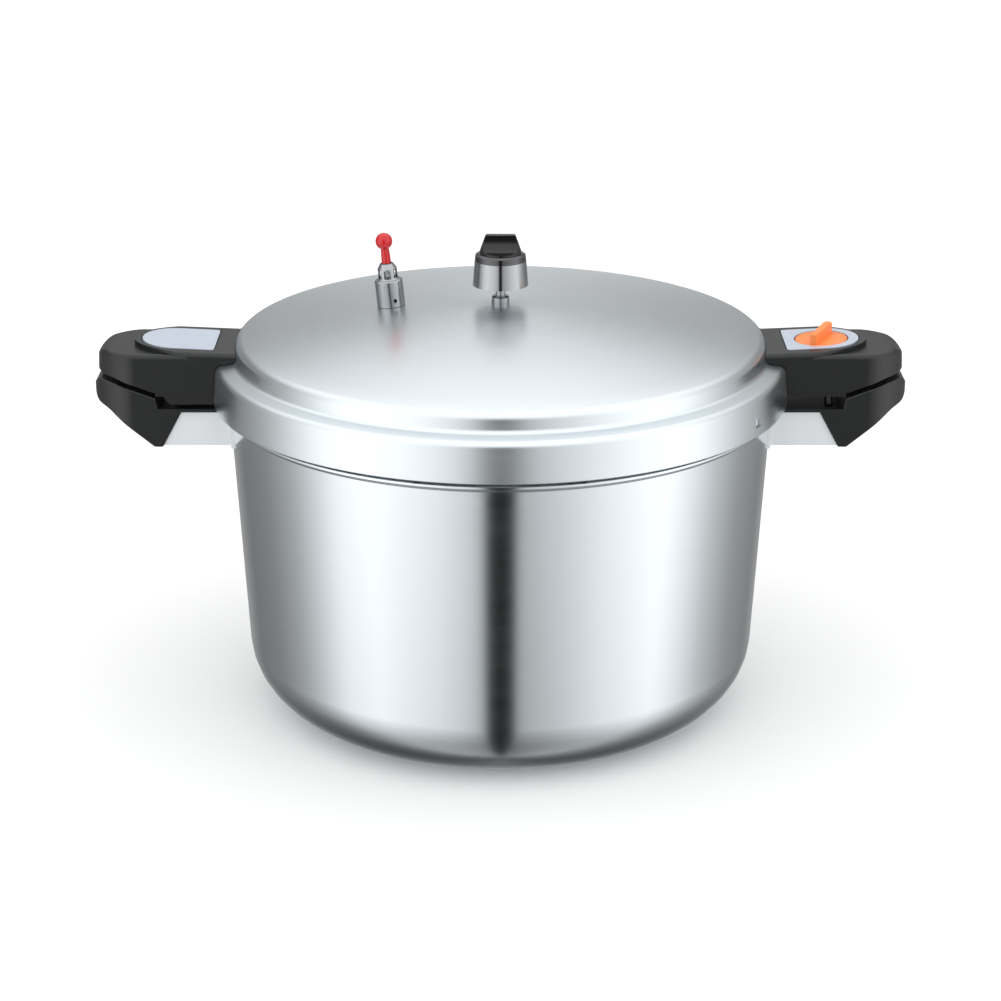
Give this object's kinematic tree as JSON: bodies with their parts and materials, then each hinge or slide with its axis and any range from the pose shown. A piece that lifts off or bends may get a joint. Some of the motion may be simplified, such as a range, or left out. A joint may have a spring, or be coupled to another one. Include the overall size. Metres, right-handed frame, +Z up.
{
  "type": "pressure canner",
  "caption": "Large stainless pressure canner with a bayonet lid, twin black handles, a lock dial, a lift-off weight and a tilting relief valve.",
  "frame": {"origin": "centre of the pot's base on the surface that it stands on", "axes": "+Z up along the pot's axis, +X through the handle with the lock dial, -Y towards the user"},
  "size_m": [0.4532, 0.322, 0.27],
  "materials": {
    "stainless": "fine circular brushing",
    "bracket_steel": "bright satin",
    "polished_steel": "polished",
    "screw_steel": "plain",
    "phenolic": "satin black moulding",
    "black_plastic": "satin black",
    "orange_plastic": "satin orange",
    "red_plastic": "glossy red",
    "label_aluminium": "satin anodised",
    "silicone": "matte"
  },
  "bodies": {
    "pot": {"pot_body": "stainless", "handle_bracket_left": "bracket_steel", "handle_bracket_right": "bracket_steel", "pot_handle_left": "phenolic", "pot_handle_right": "phenolic", "pot_handle_screws_left": "screw_steel", "pot_handle_screws_right": "screw_steel"},
    "lid": {"lid_shell": "stainless", "lid_gasket": "silicone", "lid_bracket_left": "bracket_steel", "lid_bracket_right": "bracket_steel", "lid_handle_left": "phenolic", "lid_handle_right": "phenolic", "lid_handle_base_left": "phenolic", "lid_handle_base_right": "phenolic", "lid_handle_screws_left": "screw_steel", "lid_handle_screws_right": "screw_steel", "label_plate_left": "label_aluminium", "dial_plate_right": "label_aluminium", "vent_nozzle": "polished_steel", "nozzle_washer": "silicone", "nozzle_nut": "screw_steel", "nozzle_filter_cap": "screw_steel", "relief_valve_body": "polished_steel", "relief_valve_cage": "polished_steel", "relief_valve_washer": "silicone", "relief_valve_nut": "screw_steel", "relief_spring": "screw_steel"},
    "release_lever": {"lever_pin": "screw_steel", "lever_seal": "silicone", "lever_knob": "red_plastic"},
    "weight": {"weight_body": "polished_steel", "weight_needle": "screw_steel", "weight_ring": "polished_steel", "weight_cap": "black_plastic"},
    "lock_dial_body": {"lock_dial": "orange_plastic", "dial_sleeve": "orange_plastic", "dial_screw": "screw_steel"},
    "lock_pin_body": {"lock_slider": "screw_steel", "lock_pin": "screw_steel", "lock_spring": "screw_steel"}
  },
  "joints": [
    {"name": "lid_turn", "type": "hinge", "parent": "pot", "child": "lid", "pos_m": [0, 0, 0], "axis": [0, 0, 1], "range_deg": [0, 30]},
    {"name": "weight_lift", "type": "slide", "parent": "lid", "child": "weight", "axis": [0, 0, 1], "range_m": [0, 0.03]},
    {"name": "lever_tilt", "type": "hinge", "parent": "lid", "child": "release_lever", "pos_m": [-0.06311, 0.00541, 0.25105], "axis": [0, 1, 0], "range_deg": [-8, 8], "stiffness_Nm_per_rad": 0.08},
    {"name": "dial_turn", "type": "hinge", "parent": "lid", "child": "lock_dial_body", "pos_m": [0.179, 0, 0.2108], "axis": [-0.0506, 0, 0.9987], "range_deg": [0, 90]},
    {"name": "lock_pin_slide", "type": "slide", "parent": "lid", "child": "lock_pin_body", "axis": [0.0506, 0, -0.9987], "range_m": [0, 0.005], "deforming": ["lock_spring"]}
  ],
  "couplings": [
    {"joint": "lock_pin_slide", "follows": "dial_turn", "m_per_rad": 0.00318}
  ]
}
